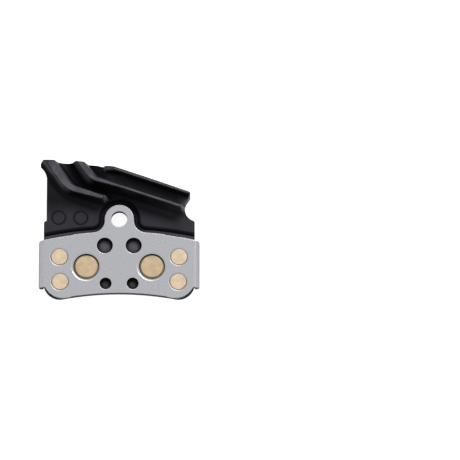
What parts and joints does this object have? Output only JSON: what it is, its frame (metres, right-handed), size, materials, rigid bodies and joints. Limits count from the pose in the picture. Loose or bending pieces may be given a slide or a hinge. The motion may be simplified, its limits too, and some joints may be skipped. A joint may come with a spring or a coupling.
{
  "type": "disc brake pad",
  "caption": "Finned bicycle disc brake pad: a bent steel plate with a pin ear, riveted over a ribbed black cooling plate and a sintered friction block.",
  "frame": {"origin": "middle of the friction face, where it meets the rotor", "axes": "+X across the pad, to the right when the steel side is seen with the ear at the top; +Y to the pin ear and the fins; +Z away from the rotor"},
  "size_m": [0.041, 0.036, 0.0083],
  "materials": {
    "steel": "fine brushed stainless steel",
    "black_aluminium": "satin black coating",
    "sintered_metal": "rough sintered copper and iron with dark speckles",
    "stud_metal": "matte, slightly grainy",
    "rivet_metal": "matte"
  },
  "bodies": {
    "root": {"back_plate": "steel", "fin_plate": "black_aluminium", "friction_lining": "sintered_metal", "large_rivets": "stud_metal", "small_rivets": "rivet_metal"}
  },
  "joints": []
}
